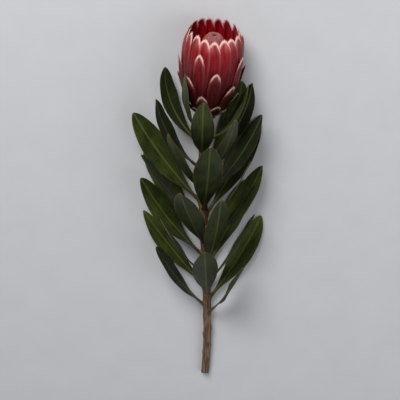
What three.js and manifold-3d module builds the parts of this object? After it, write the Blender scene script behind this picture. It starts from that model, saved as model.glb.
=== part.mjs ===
// A cut protea flower, lying as picked: the bloom, its woody stem and its leaves.
// Millimetres, +Z up. The stem lies along +Y with the bloom at the far end, and the
// flower rests on z = 0 on the bloom's belly, on leaves at both sides and on the cut end.
import * as THREE from "three";
import { mergeGeometries, mergeVertices } from "three/addons/utils/BufferGeometryUtils.js";
import Module from "manifold-3d";

const wasm = await Module();
wasm.setup();

const { Vector2, Vector3, Matrix4 } = THREE;
const { lerp, smoothstep, degToRad } = THREE.MathUtils;
const WORLD_UP = new Vector3(0, 0, 1);
const GOLDEN_TURN = degToRad(137.508); // from each leaf or bract to the next one up
const TOUCHING_GAP = 0.35; // left between pieces that grow from each other
const SLIVER = 0.01; // edges shorter than this, left where blades cross, are closed up

// Stem
const STEM_LENGTH = 321;
const STEM_RADIUS_LOW = 4.3;
const STEM_RADIUS_HIGH = 4.7;
const STEM_RADIUS_NECK = 6.0;
const NECK_SWELL = 16; // length over which the stem widens into the bloom
const STEM_SIDES = 10;
const STEM_RINGS = 14;
const CUT_SLANT = 0.55; // rise of the slanted cut over its run
const CUT_CENTRE_HEIGHT = 4.4;
const CUT_RISE = degToRad(2); // the stem's slope at the cut
const NECK_RISE = degToRad(7); // and at the bloom
const STEM_SWAY = 9; // how far the middle is drawn to each side, as control points

// Bloom: heights are along its axis from the top of its neck
const BLOOM_HEIGHT = 92;
const BLOOM_WIDEST_HEIGHT = 60;
const BLOOM_RADIUS = 31.2;
const BLOOM_RADIUS_BASE = 11;
const BLOOM_RADIUS_MOUTH = 22.6;
const BELLY_FULLNESS = 2.4;
const SHOULDER_FULLNESS = 2.2;
const RECEPTACLE_NECK = 7; // the cone between the stem and the lowest bracts
const RECEPTACLE_TOP = 28;
const RECEPTACLE_DEPTH = 4.3; // its skin, below the outermost bracts
const RECEPTACLE_SIDES = 20;
const RECEPTACLE_BEVEL = 3;
const BELLY_REST = 31.7; // from the axis to the flat where the belly rests

// Bracts
const BRACT_THICKNESS = 0.8;
const BRACT_COLUMNS = 4;
const BRACT_CUP = 1.7; // how far a bract's edges curl in
const BRACT_TIP_POINT = 1.08; // 1 rounds the end as a half ellipse, and more is more pointed
const BRACT_TIP_LEAST = 0.2; // the width left at the very end, of the full width
const BRACT_TIP_SPREAD = 0.15; // how far one bract's rounded end differs in length from another's
const BRACT_FLARE_LENGTH = 17; // the stretch that leans out at the tip
const BRACT_WAIST = 0.62; // the width at the root, of the full width
const BRACT_WAIST_END = 0.55; // where along a bract it reaches its full width
const BRACT_LAYER_SLOPE = 0.06; // how fast a bract leans out towards its tip
const BRACT_ROOT_DEPTH = 4.9;
const BRACT_ROOT_BEND = 9; // length over which a root turns in to the receptacle
const BRACT_CROWDING = 1.6; // how much closer the rows of faces are at the tip
const LOW_BRACTS = { count: 12, firstTip: 8, tipStep: 1.95, tipSpread: 0.8, tipLength: 15, width: 9.6,
  widen: 0.22, root: -1, rootStep: 0.55, rows: 3, flare: 0.7, tilt: 0.2, turnSpread: 0.04 };
const MIDDLE_BRACTS = { count: 16, firstTip: 33, tipStep: 3.2, tipSpread: 0.8, tipLength: 21, width: 12,
  widen: 0.04, root: 6, rootStep: 0.55, rows: 5, flare: 0.8, tilt: 0.3, turnSpread: 0.04 };
const RING_BRACTS = { count: 17, tip: 91.8, ripple: 2, tipLength: 24, width: 15.6, root: 22.5, rows: 6,
  flare: 0.2, tilt: 1.2, layer: 112, unevenness: 2, turnSpread: 0.12 };

// Florets: the silky cone in the middle of the bloom
const FLORET_PROFILE = [
  [14.5, RECEPTACLE_TOP + TOUCHING_GAP],
  [17.2, 42],
  [16.4, 56],
  [13.4, 67],
  [10.6, 75],
  [8.2, 81],
  [5.4, 84.6],
  [2.9, 85.2],
];
const FLORET_DIMPLE = 83.2;
const FLORET_SIDES = 16;
const STYLE_COUNT = 84;
const STYLE_LENGTH = 9;
const STYLE_RADIUS = 1.0;
const STYLE_LOWEST = 54;
const STYLE_HIGHEST = 82;
const STYLE_LEAN = 0.35; // how far a style leans out of the cone over the next length, and
const STYLE_RISE = 2;
const STYLE_SUNK = 0.9; // how deep in the cone its axis starts
const STYLE_SUNK_LENGTH = 0.3; // from there to its middle, of its length

// Leaves, counted from the bloom down
const LEAF_COUNT = 28;
const LEAF_SEED = 123; // chosen so that no two leaves cross
const LEAF_SCARS = 7; // bare cushions below the lowest leaf
const LEAF_FIRST = 11; // from the neck
const LEAF_SPACING = 8.2;
const LEAF_START_TURN = degToRad(-60);
const LEAF_THICKNESS = 0.8;
const LEAF_BASE_THICKNESS = 2.0;
const LEAF_BASE_WIDTH = 5.2;
const LEAF_ROWS = 7;
const LEAF_COLUMNS = 4;
const LEAF_CROWDING = 1.15; // how much closer the rows of faces are at the tip
const LEAF_FOLD = 0.13; // how far the edges rise above the midrib, of the half width
const LEAF_FOLD_LOST = 0.5; // the share of the fold that is gone at the tip
const LEAF_LENGTHS = { top: 82, middle: 118, low: 102 };
const LEAF_LONGEST = 11; // the leaf that is longest
const LEAF_WIDTH_SHARE = 0.215;
const LEAF_WIDTH_EXTRA = 3;
const LEAF_WIDEST = 1.45; // above 1, the leaf is widest beyond its middle
const LEAF_FULLNESS = 0.62; // below 1, its sides are fuller
const LEAF_TIP_LEAST = 0.07; // the width left at the very end, of the full width
const LEAF_SPREAD = { turn: 0.08, length: 0.05, lean: degToRad(4), bend: degToRad(6), twist: degToRad(12),
  wave: 0.9 }; // how far one leaf differs from another
const LEAF_STALK_END = 0.22; // where along a leaf its stalk has thinned to the blade's thickness
const LEAF_TWIST_END = 0.5; // where along a leaf its twist is complete
const LEAF_WAVE_SLANT = 0.15; // how far the wave's start differs from one edge to the other
const LEAF_FREE_END = 0.15; // up to where along a leaf the surface below doesn't shape it
const CUSHION_REACH = 2.2; // how far a leaf's cushion stands out of the bark
const SCAR_REACH = 0.9;
const CUSHION_SUNK = 2.5;
const CUSHION_FLARE = 0.6; // how much wider its foot is than its top
const CUSHION_FLATNESS = 0.55;
const LEAF_LEAN = { high: degToRad(50), low: degToRad(35) }; // away from the stem, at the leaf's base
const LEAF_BEND = { high: degToRad(-54), low: degToRad(-14) }; // back towards it, over the leaf
const LEAF_TWIST = degToRad(36); // turns the upper side of a leaf at the flower's side up
const FLOOR_SQUEEZE = 0.26; // how far leaves turn away from the surface below
const FLOOR_LEVEL = 1.9; // where leaves start to lie along the surface
const FLOOR_SOFTNESS = 1.3;
const FLOOR_LEFT_OVER = 0.06; // what stays of the depth below it, so that leaves keep their order

// A repeatable draw between -1 and 1 for one trait of one piece.
function draw(index, trait) {
  const wave = Math.sin(index * 12.9898 + trait * 78.233) * 43758.5453;
  return 2 * (wave - Math.floor(wave)) - 1;
}

// The nearest equivalent turn between -180 and 180 degrees.
function nearestTurn(angle) {
  return angle - 2 * Math.PI * Math.round(angle / (2 * Math.PI));
}

// ---- Solids ----

// The same surface with vertices nearer than `reach` made one, and no face that this closes up.
function shareVertices(geometry, reach = 1e-4) {
  const bare = geometry.clone();
  bare.deleteAttribute("normal");
  bare.deleteAttribute("uv");
  const shared = mergeVertices(bare, reach);
  const index = shared.index.array;
  const kept = [];
  for (let corner = 0; corner < index.length; corner += 3) {
    const [a, b, c] = index.slice(corner, corner + 3);
    if (a !== b && b !== c && c !== a) kept.push(a, b, c);
  }
  shared.setIndex(kept);
  return shared;
}

function solidFrom(geometry) {
  const shared = shareVertices(geometry);
  return new wasm.Manifold(new wasm.Mesh({
    numProp: 3,
    vertProperties: new Float32Array(shared.attributes.position.array),
    triVerts: new Uint32Array(shared.index.array),
  }));
}

// The solids fused into one body: loose scraps are dropped and sealed hollows are filled.
function fuse(solids) {
  const pieces = solids.reduce((whole, solid) => whole.add(solid)).decompose();
  return pieces.reduce((largest, piece) => (piece.volume() > largest.volume() ? piece : largest));
}

function geometryFrom(solid) {
  const mesh = solid.getMesh();
  const geometry = new THREE.BufferGeometry();
  geometry.setAttribute("position", new THREE.BufferAttribute(new Float32Array(mesh.vertProperties), 3));
  geometry.setIndex(new THREE.BufferAttribute(new Uint32Array(mesh.triVerts), 1));
  return shareVertices(geometry, SLIVER);
}

// Rings round an axis, as a closed solid. The frame's y is the axis.
function turned(profile, sides, frame) {
  const points = profile.map(([radius, height]) => new Vector2(radius, height));
  return new THREE.LatheGeometry(points, sides).applyMatrix4(frame);
}

// A blade: a flat grid bent onto a middle surface, once on each side of it, and closed round the edge.
// middle(u, v) runs from root (u = 0) to tip (u = 1) and across (v = -1 to 1). Rows are closer at the tip.
function blade(middle, thickness, rows, columns, crowding) {
  const grid = new THREE.PlaneGeometry(2, 1, columns, rows);
  const flat = grid.attributes.position;
  const upper = grid.clone();
  const lower = grid.clone();
  const step = 1e-3;
  for (let i = 0; i < flat.count; i += 1) {
    const u = 1 - (0.5 + flat.getY(i)) ** crowding;
    const v = flat.getX(i);
    const alongBlade = middle(u + step, v).sub(middle(u - step, v));
    const acrossBlade = middle(u, v + step).sub(middle(u, v - step));
    const half = alongBlade.cross(acrossBlade).setLength(thickness(u) / 2);
    const point = middle(u, v);
    upper.attributes.position.setXYZ(i, ...point.clone().add(half).toArray());
    lower.attributes.position.setXYZ(i, ...point.clone().sub(half).toArray());
  }
  lower.index.array.reverse();
  const whole = mergeGeometries([upper, lower]);
  whole.setIndex([...whole.index.array, ...bladeRim(rows, columns, flat.count)]);
  return shareVertices(whole);
}

// Triangles that join the edges of a blade's two sides, whose vertices are `apart` places apart.
function bladeRim(rows, columns, apart) {
  const across = columns + 1;
  const loop = [];
  for (let column = 0; column < columns; column += 1) loop.push(rows * across + column);
  for (let row = rows; row > 0; row -= 1) loop.push(row * across + columns);
  for (let column = columns; column > 0; column -= 1) loop.push(column);
  for (let row = 0; row < rows; row += 1) loop.push(row * across);
  return loop.flatMap((here, place) => {
    const next = loop[(place + 1) % loop.length];
    return [next, here, here + apart, next, here + apart, next + apart];
  });
}

// ---- Stem ----

function makeStemPath() {
  const cut = new Vector3(0, 0, CUT_CENTRE_HEIGHT);
  const neckHeight = BELLY_REST * Math.cos(NECK_RISE)
    - (RECEPTACLE_NECK + BLOOM_WIDEST_HEIGHT) * Math.sin(NECK_RISE);
  const neck = new Vector3(0, STEM_LENGTH, neckHeight);
  const reach = STEM_LENGTH / 3;
  const nearCut = cut.clone().add(new Vector3(STEM_SWAY, reach, reach * Math.tan(CUT_RISE)));
  const nearNeck = neck.clone().sub(new Vector3(STEM_SWAY, reach, reach * Math.tan(NECK_RISE)));
  return new THREE.CubicBezierCurve3(cut, nearCut, nearNeck, neck);
}

const stemPath = makeStemPath();

// Where the stem is at `distance` from its cut end, and its own directions there.
function stemFrame(distance) {
  const share = distance / STEM_LENGTH;
  const centre = stemPath.getPoint(share);
  const along = stemPath.getTangent(share);
  const side = new Vector3().crossVectors(along, WORLD_UP).normalize();
  const up = new Vector3().crossVectors(side, along);
  return { centre, along, side, up };
}

// The direction out of an axis at a turn from up towards the side.
function outward(frame, turn) {
  return frame.up.clone().multiplyScalar(Math.cos(turn)).addScaledVector(frame.side, Math.sin(turn));
}

function stemRadius(distance) {
  const straight = lerp(STEM_RADIUS_LOW, STEM_RADIUS_HIGH, distance / STEM_LENGTH);
  const swell = smoothstep(distance, STEM_LENGTH - NECK_SWELL, STEM_LENGTH);
  return lerp(straight, STEM_RADIUS_NECK, swell);
}

function bark() {
  const profile = [[0, 0]];
  for (let ring = 0; ring <= STEM_RINGS; ring += 1) {
    const distance = STEM_LENGTH * Math.sin((ring / STEM_RINGS) * Math.PI / 2);
    profile.push([stemRadius(distance), distance]);
  }
  profile.push([0, STEM_LENGTH]);
  const geometry = turned(profile, STEM_SIDES, new Matrix4());
  const place = geometry.attributes.position;
  for (let i = 0; i < place.count; i += 1) {
    const [x, distance, z] = [place.getX(i), place.getY(i), place.getZ(i)];
    const slant = distance === 0 ? CUT_SLANT * z : 0;
    const frame = stemFrame(distance);
    const point = frame.centre.clone().addScaledVector(frame.side, x).addScaledVector(frame.up, z);
    point.addScaledVector(frame.along, slant);
    place.setXYZ(i, point.x, point.y, point.z);
  }
  return geometry;
}

// The raised cushion that a leaf grows from, or the scar that a lost leaf has left.
function cushion(leaf, reach) {
  const sides = 6;
  const length = CUSHION_SUNK + reach;
  const topRadius = LEAF_BASE_WIDTH / 2;
  const stub = new THREE.CylinderGeometry(topRadius, topRadius + CUSHION_FLARE, length, sides);
  const across = new Vector3().crossVectors(leaf.direction, leaf.sideways);
  const turn = new Matrix4().makeBasis(leaf.sideways, leaf.direction, across.negate());
  const centre = leaf.onBark.clone().addScaledVector(leaf.direction, reach - length / 2);
  return stub.scale(1, 1, CUSHION_FLATNESS).applyMatrix4(turn.setPosition(centre));
}

function stem() {
  const solids = [solidFrom(bark())];
  for (let index = 0; index < LEAF_COUNT + LEAF_SCARS; index += 1) {
    const reach = index < LEAF_COUNT ? CUSHION_REACH : SCAR_REACH;
    solids.push(solidFrom(cushion(leafPlan(index), reach)));
  }
  return geometryFrom(fuse(solids));
}

// ---- Bloom ----

const bloomFrame = makeBloomFrame();

function makeBloomFrame() {
  const neck = stemFrame(STEM_LENGTH);
  const base = neck.centre.clone().addScaledVector(neck.along, TOUCHING_GAP + RECEPTACLE_NECK);
  return { ...neck, centre: base };
}

function bloomMatrix() {
  const { centre, along, side, up } = bloomFrame;
  return new Matrix4().makeBasis(side, along, up).setPosition(centre);
}

function bloomPoint(turn, radius, height) {
  const { centre, along } = bloomFrame;
  return centre.clone().addScaledVector(along, height).addScaledVector(outward(bloomFrame, turn), radius);
}

// The bloom's outline: a full belly below its widest height and a shoulder that closes in above it.
function bloomRadius(height) {
  const below = Math.max(0, BLOOM_WIDEST_HEIGHT - height) / BLOOM_WIDEST_HEIGHT;
  const above = Math.max(0, height - BLOOM_WIDEST_HEIGHT) / (BLOOM_HEIGHT - BLOOM_WIDEST_HEIGHT);
  return BLOOM_RADIUS - (BLOOM_RADIUS - BLOOM_RADIUS_BASE) * below ** BELLY_FULLNESS
    - (BLOOM_RADIUS - BLOOM_RADIUS_MOUTH) * above ** SHOULDER_FULLNESS;
}

// The bracts from the lowest to the crown: a spiral of short ones, a spiral of long straps with their
// tips well apart, and a closed ring of straps round the mouth, each with one edge over the next one.
// `layer` is the height at which a bract would reach the bloom's outline, so a higher one lies deeper,
// `tilt` is how far one of its edges stands out, and `tipLength` is the length of its rounded end.
function bractPlans() {
  const plans = [];
  const roundedEnd = (rows) => rows.tipLength * (1 + BRACT_TIP_SPREAD * draw(plans.length, 4));
  for (const rows of [LOW_BRACTS, MIDDLE_BRACTS]) {
    for (let step = 0; step < rows.count; step += 1) {
      const tip = rows.firstTip + rows.tipStep * step + rows.tipSpread * draw(plans.length, 1);
      plans.push({ ...rows, tip, layer: tip, root: rows.root + rows.rootStep * step,
        width: rows.width + rows.widen * step, tilt: rows.tilt * draw(plans.length, 3),
        turn: GOLDEN_TURN * plans.length + rows.turnSpread * draw(plans.length, 2),
        tipLength: roundedEnd(rows) });
    }
  }
  for (let step = 0; step < RING_BRACTS.count; step += 1) {
    const tip = RING_BRACTS.tip - RING_BRACTS.ripple * (1 + draw(plans.length, 1)) / 2;
    const turn = 2 * Math.PI * (step + RING_BRACTS.turnSpread * draw(plans.length, 2)) / RING_BRACTS.count;
    const layer = RING_BRACTS.layer + RING_BRACTS.unevenness * draw(plans.length, 3);
    plans.push({ ...RING_BRACTS, tip, layer, turn, tipLength: roundedEnd(RING_BRACTS) });
  }
  return plans;
}

// Half a bract's width: a rounded end, and narrower towards the root.
function bractHalfWidth(bract, height) {
  const toEnd = Math.min(1, Math.max(0, (bract.tip - height) / bract.tipLength));
  const oval = Math.max(BRACT_TIP_LEAST, Math.sqrt(1 - (1 - toEnd) ** 2) ** BRACT_TIP_POINT);
  const fromRoot = (height - bract.root) / (bract.tip - bract.root);
  const waist = lerp(BRACT_WAIST, 1, smoothstep(fromRoot, 0, BRACT_WAIST_END));
  return (bract.width / 2) * oval * waist;
}

function bractMiddle(bract) {
  return (u, v) => {
    const height = lerp(bract.root, bract.tip, u);
    const half = bractHalfWidth(bract, height);
    const leaned = BRACT_LAYER_SLOPE * (bract.layer - height);
    const rooted = Math.max(0, 1 - (height - bract.root) / BRACT_ROOT_BEND) ** 2;
    const depth = lerp(leaned, Math.max(leaned, BRACT_ROOT_DEPTH), rooted);
    const offMiddle = v * half / (bract.width / 2);
    const section = bract.tilt * offMiddle - BRACT_CUP * offMiddle ** 2;
    const flare = bract.flare * Math.max(0, 1 - (bract.tip - height) / BRACT_FLARE_LENGTH) ** 2;
    const radius = bloomRadius(height) - depth + section + flare;
    return bloomPoint(bract.turn + v * half / radius, radius, height);
  };
}

function receptacle() {
  const profile = [[0, -RECEPTACLE_NECK], [STEM_RADIUS_NECK, -RECEPTACLE_NECK]];
  const levels = 5;
  const shoulder = RECEPTACLE_TOP - RECEPTACLE_BEVEL;
  for (let level = 0; level <= levels; level += 1) {
    const height = shoulder * level / levels;
    profile.push([bloomRadius(height) - RECEPTACLE_DEPTH, height]);
  }
  profile.push([bloomRadius(shoulder) - RECEPTACLE_DEPTH - RECEPTACLE_BEVEL, RECEPTACLE_TOP]);
  profile.push([0, RECEPTACLE_TOP]);
  return turned(profile, RECEPTACLE_SIDES, bloomMatrix());
}

// What the surface below takes off the belly, so that the bloom rests on a small flat.
function surfaceBlock() {
  const depth = 20;
  const block = new THREE.BoxGeometry(8 * BLOOM_RADIUS, 8 * BLOOM_RADIUS, depth);
  return block.translate(bloomFrame.centre.x, bloomFrame.centre.y, -depth / 2);
}

function bracts() {
  const thickness = () => BRACT_THICKNESS;
  const straps = bractPlans().map((bract) => (
    solidFrom(blade(bractMiddle(bract), thickness, bract.rows, BRACT_COLUMNS, BRACT_CROWDING))));
  const whole = fuse([solidFrom(receptacle()), ...straps]);
  return geometryFrom(fuse([whole.subtract(solidFrom(surfaceBlock()))]));
}

// The floret cone's radius at a height, between the points of its profile.
function floretRadius(height) {
  const next = FLORET_PROFILE.findIndex(([, level]) => level >= height);
  const [radiusBelow, below] = FLORET_PROFILE[next - 1];
  const [radiusAbove, above] = FLORET_PROFILE[next];
  return lerp(radiusBelow, radiusAbove, (height - below) / (above - below));
}

// One silky style: a three-sided needle that leans in along the cone, with its root inside it.
function style(index) {
  const height = lerp(STYLE_LOWEST, STYLE_HIGHEST, Math.sqrt((index + 0.5) / STYLE_COUNT));
  const turn = GOLDEN_TURN * index;
  const slope = floretRadius(height + 1) - floretRadius(height - 1);
  const direction = bloomFrame.along.clone().multiplyScalar(STYLE_RISE)
    .addScaledVector(outward(bloomFrame, turn), STYLE_LEAN + slope).normalize();
  const needle = new THREE.ConeGeometry(STYLE_RADIUS, STYLE_LENGTH, 3);
  needle.applyQuaternion(new THREE.Quaternion().setFromUnitVectors(new Vector3(0, 1, 0), direction));
  const root = bloomPoint(turn, floretRadius(height) - STYLE_SUNK, height);
  const middle = root.addScaledVector(direction, STYLE_LENGTH * STYLE_SUNK_LENGTH);
  return needle.translate(middle.x, middle.y, middle.z);
}

function florets() {
  const [, bottom] = FLORET_PROFILE[0];
  const cone = turned([[0, bottom], ...FLORET_PROFILE, [0, FLORET_DIMPLE]], FLORET_SIDES, bloomMatrix());
  const solids = [solidFrom(cone)];
  for (let index = 0; index < STYLE_COUNT; index += 1) solids.push(solidFrom(style(index)));
  return geometryFrom(fuse(solids));
}

// ---- Leaves ----

// Where a leaf grows and how it is shaped. Index 0 is the leaf nearest the bloom.
function leafPlan(index) {
  const distance = STEM_LENGTH - LEAF_FIRST - LEAF_SPACING * index;
  const seed = index + LEAF_SEED;
  const turnUp = nearestTurn(LEAF_START_TURN + GOLDEN_TURN * index + LEAF_SPREAD.turn * draw(seed, 1));
  const turn = turnUp * (1 - FLOOR_SQUEEZE);
  const frame = stemFrame(distance);
  const out = outward(frame, turn);
  const nearBloom = 1 - smoothstep(index, 0, LEAF_LONGEST);
  const belowLongest = Math.max(0, index - LEAF_LONGEST) / (LEAF_COUNT - LEAF_LONGEST);
  const length = (lerp(LEAF_LENGTHS.middle, LEAF_LENGTHS.top, nearBloom)
    - (LEAF_LENGTHS.middle - LEAF_LENGTHS.low) * belowLongest) * (1 + LEAF_SPREAD.length * draw(seed, 2));
  const lean = lerp(LEAF_LEAN.low, LEAF_LEAN.high, nearBloom) + LEAF_SPREAD.lean * draw(seed, 3);
  const bend = lerp(LEAF_BEND.low, LEAF_BEND.high, nearBloom)
    + LEAF_SPREAD.bend * draw(seed, 4) * (1 - nearBloom);
  const direction = frame.along.clone().multiplyScalar(Math.cos(lean)).addScaledVector(out, Math.sin(lean));
  const sideways = new Vector3().crossVectors(frame.along, out);
  const onBark = frame.centre.clone().addScaledVector(out, stemRadius(distance));
  return { frame, out, direction, sideways, onBark, length, lean, bend,
    width: LEAF_WIDTH_SHARE * length + LEAF_WIDTH_EXTRA,
    twist: LEAF_TWIST * Math.sin(turn) + LEAF_SPREAD.twist * draw(seed, 5),
    wave: LEAF_SPREAD.wave * draw(seed, 6) };
}

// Half a leaf's width: widest beyond the middle, narrowed to a short stalk, with a blunt tip.
function leafHalfWidth(leaf, u) {
  const oval = Math.sin(Math.PI * Math.min(1, Math.max(0, u)) ** LEAF_WIDEST) ** LEAF_FULLNESS;
  const stalk = (LEAF_BASE_WIDTH / leaf.width) * (1 - u) ** 2;
  return (leaf.width / 2) * Math.max(LEAF_TIP_LEAST, stalk, oval || 0);
}

// A height above the surface, with what would be below it laid along it.
function overSurface(height) {
  const above = height - FLOOR_LEVEL;
  const lifted = FLOOR_SOFTNESS * Math.log(1 + Math.exp(above / FLOOR_SOFTNESS));
  return FLOOR_LEVEL + lifted - FLOOR_LEFT_OVER * (lifted - above);
}

// A leaf's middle surface: an arc in the plane of the stem and the leaf, a shallow V across it,
// a twist and a wave along it, laid on the surface where it would go below.
function leafMiddle(leaf) {
  const start = leaf.onBark.clone().addScaledVector(leaf.direction, CUSHION_REACH + TOUCHING_GAP);
  return (u, v) => {
    const lean = leaf.lean + leaf.bend * u;
    const alongStem = (Math.sin(lean) - Math.sin(leaf.lean)) / leaf.bend;
    const awayFromStem = (Math.cos(leaf.lean) - Math.cos(lean)) / leaf.bend;
    const rib = start.clone().addScaledVector(leaf.frame.along, leaf.length * alongStem)
      .addScaledVector(leaf.out, leaf.length * awayFromStem);
    const upperSide = leaf.frame.along.clone().multiplyScalar(Math.sin(lean))
      .addScaledVector(leaf.out, -Math.cos(lean));
    const across = v * leafHalfWidth(leaf, u);
    const turned = leaf.twist * smoothstep(u, 0, LEAF_TWIST_END);
    const rise = Math.abs(across) * LEAF_FOLD * (1 - LEAF_FOLD_LOST * u)
      + leaf.wave * v * v * Math.sin(2 * Math.PI * (u + LEAF_WAVE_SLANT * v));
    const point = rib.addScaledVector(leaf.sideways, across * Math.cos(turned) - rise * Math.sin(turned))
      .addScaledVector(upperSide, across * Math.sin(turned) + rise * Math.cos(turned));
    point.z = lerp(point.z, overSurface(point.z), smoothstep(u, 0, LEAF_FREE_END));
    return point;
  };
}

function leafBlade(index) {
  const thickness = (u) => lerp(LEAF_BASE_THICKNESS, LEAF_THICKNESS, smoothstep(u, 0, LEAF_STALK_END));
  return blade(leafMiddle(leafPlan(index)), thickness, LEAF_ROWS, LEAF_COLUMNS, LEAF_CROWDING);
}

// ---- The flower ----

const finishes = {
  bract: new THREE.MeshStandardMaterial({ color: 0xa83244, roughness: 0.55, metalness: 0 }),
  floret: new THREE.MeshStandardMaterial({ color: 0xc49490, roughness: 0.8, metalness: 0 }),
  leaf: new THREE.MeshStandardMaterial({ color: 0x3a4a28, roughness: 0.5, metalness: 0 }),
  bark: new THREE.MeshStandardMaterial({ color: 0x6a4634, roughness: 0.75, metalness: 0 }),
};

function named(name, geometry, finish) {
  const mesh = new THREE.Mesh(geometry, finish);
  mesh.name = name;
  return mesh;
}

const flower = new THREE.Group();
flower.add(named("stem", stem(), finishes.bark));
flower.add(named("bracts", bracts(), finishes.bract));
flower.add(named("florets", florets(), finishes.floret));
for (let index = 0; index < LEAF_COUNT; index += 1) {
  const number = String(index + 1).padStart(2, "0");
  flower.add(named(`leaf_${number}`, leafBlade(index), finishes.leaf));
}

// The origin is the bottom centre of the whole flower.
const bounds = new THREE.Box3().setFromObject(flower);
const middle = bounds.getCenter(new Vector3());
flower.position.set(-middle.x, -middle.y, -bounds.min.z);

export default flower;
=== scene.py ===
"""The looks of a cut protea flower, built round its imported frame.

Lengths are in millimetres in the flower's own drawing frame, as its solids are, and place() turns
them into the scene's metres. Shapes are worked out as whole arrays: a blade or tube is a grid of
rings, each ring a closed section, and the traits that its finish reads are carried with the points.
"""
import math
from functools import partial, partialmethod
from types import SimpleNamespace as Group

import bpy
import numpy as np
from mathutils import Matrix, Vector


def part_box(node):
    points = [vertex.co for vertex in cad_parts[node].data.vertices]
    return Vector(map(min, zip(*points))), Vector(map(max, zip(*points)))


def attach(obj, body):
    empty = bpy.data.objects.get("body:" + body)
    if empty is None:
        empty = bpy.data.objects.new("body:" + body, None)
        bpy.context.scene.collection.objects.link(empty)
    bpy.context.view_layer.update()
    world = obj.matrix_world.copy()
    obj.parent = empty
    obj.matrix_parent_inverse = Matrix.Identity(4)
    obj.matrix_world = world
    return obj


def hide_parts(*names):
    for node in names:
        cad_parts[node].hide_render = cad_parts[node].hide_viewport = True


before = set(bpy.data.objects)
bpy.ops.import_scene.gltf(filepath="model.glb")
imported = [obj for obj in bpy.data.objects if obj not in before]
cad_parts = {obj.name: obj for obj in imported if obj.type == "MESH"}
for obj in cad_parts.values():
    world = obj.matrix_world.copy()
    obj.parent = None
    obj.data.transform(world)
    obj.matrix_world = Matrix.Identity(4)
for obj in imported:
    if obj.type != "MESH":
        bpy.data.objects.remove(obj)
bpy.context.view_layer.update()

MM = 0.001
WORLD_UP = np.array([0.0, 0.0, 1.0])
GOLDEN_TURN = math.radians(137.508)  # from each leaf or bract to the next one
TOUCHING_GAP = 0.35  # between solids that touch
SMALL_STEP = 1e-3  # of u or v, to measure a slope
LENS_BLUNTNESS = 6  # 2 is a round section, and more stays thick nearer to the edge
EDGE_AT_TIP = 0.1  # the most that off_edge() gives at the very tip
RESTING_HEIGHT = 0.06  # where pieces start to be pressed flat by the surface below
PRESSED_SHARE = 0.04  # what stays of the depth below it, so that pressed skins keep their order

# Stem, from its cut end to the bloom's neck
STEM_LENGTH = 321.0
STEM_RADIUS_LOW = 4.3
STEM_RADIUS_HIGH = 4.7
STEM_RADIUS_NECK = 6.0
NECK_SWELL = 16.0  # the stretch over which it thickens into the neck
CUT_SLANT = 0.55
CUT_CENTRE_HEIGHT = 4.4
CUT_RISE = math.radians(2)
NECK_RISE = math.radians(7)
STEM_SWAY = 9.0  # how far its curve is drawn to one side, then to the other

# Bloom: heights are along its axis from the top of its neck
BLOOM_HEIGHT = 92.0
BLOOM_WIDEST_HEIGHT = 60.0
BLOOM_RADIUS = 31.2
BLOOM_RADIUS_BASE = 11.0
BLOOM_RADIUS_MOUTH = 22.6
BELLY_FULLNESS = 2.4  # the power of its outline below the widest height
SHOULDER_FULLNESS = 2.2  # and above it
BELLY_REST = 31.7  # from the bloom's axis to the surface that its belly rests on
RECEPTACLE_NECK = 7.0
RECEPTACLE_TOP = 28.0
RECEPTACLE_DEPTH = 4.3  # inside the bloom's outline
RECEPTACLE_SHOULDER = 3.0
RECEPTACLE_ROWS = 14
RECEPTACLE_AROUND = 64
RECEPTACLE_NECK_PROFILE = [  # radius and height, begun inside the stem's end
    [STEM_RADIUS_NECK - 1.0, -RECEPTACLE_NECK - 1.2],
    [STEM_RADIUS_NECK - 0.1, -RECEPTACLE_NECK - 0.2],
    [6.3, -4.0]]
RECEPTACLE_TOP_RADIUS = 1.0

# Bracts
BRACT_THICKNESS = 0.62
BRACT_THIN_TIP = 0.45  # its thickness at the tip, as a share
BRACT_THIN_FROM = 0.8
BRACT_CUP = 1.7  # how far its edges curl in
BRACT_TIP_POINT = 1.08  # 1 is a half ellipse, and more is pointed
BRACT_TIP_LEAST = 0.03
BRACT_TIP_SPREAD = 0.15
BRACT_FLARE_LENGTH = 17.0
BRACT_WAIST = 0.62  # its width at the root, as a share
BRACT_WAIST_END = 0.55
BRACT_LAYER_SLOPE = 0.06  # how fast it sinks into the bloom, going down from its layer's height
BRACT_ROOT_DEPTH = 4.9
BRACT_ROOT_BEND = 9.0
LOW_BRACTS = Group(count=12, first_tip=8.0, tip_step=1.95, tip_spread=0.8, tip_length=15.0, width=9.6,
                   widen=0.22, root=-1.0, root_step=0.55, flare=0.7, tilt=0.2, turn_spread=0.04)
MIDDLE_BRACTS = Group(count=16, first_tip=33.0, tip_step=3.2, tip_spread=0.8, tip_length=21.0, width=12.0,
                      widen=0.04, root=6.0, root_step=0.55, flare=0.8, tilt=0.3, turn_spread=0.04)
RING_BRACTS = Group(count=17, tip=91.8, ripple=2.0, tip_length=24.0, width=15.6, root=22.5, flare=0.2,
                    tilt=1.2, layer=112.0, unevenness=2.0, turn_spread=0.12)
NECK_SCALES = Group(count=14, tip=5.6, tip_step=0.66, root=-2.6, root_step=0.40, width=8.8, narrow=0.2,
                    tip_length=8.0, flare=0.3, deeper=34.0, deeper_step=-2.4)
BRACT_ROWS = 34
BRACT_AROUND = 26
BRACT_CROWDING = 1.8  # of its rows, towards the tip

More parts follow.
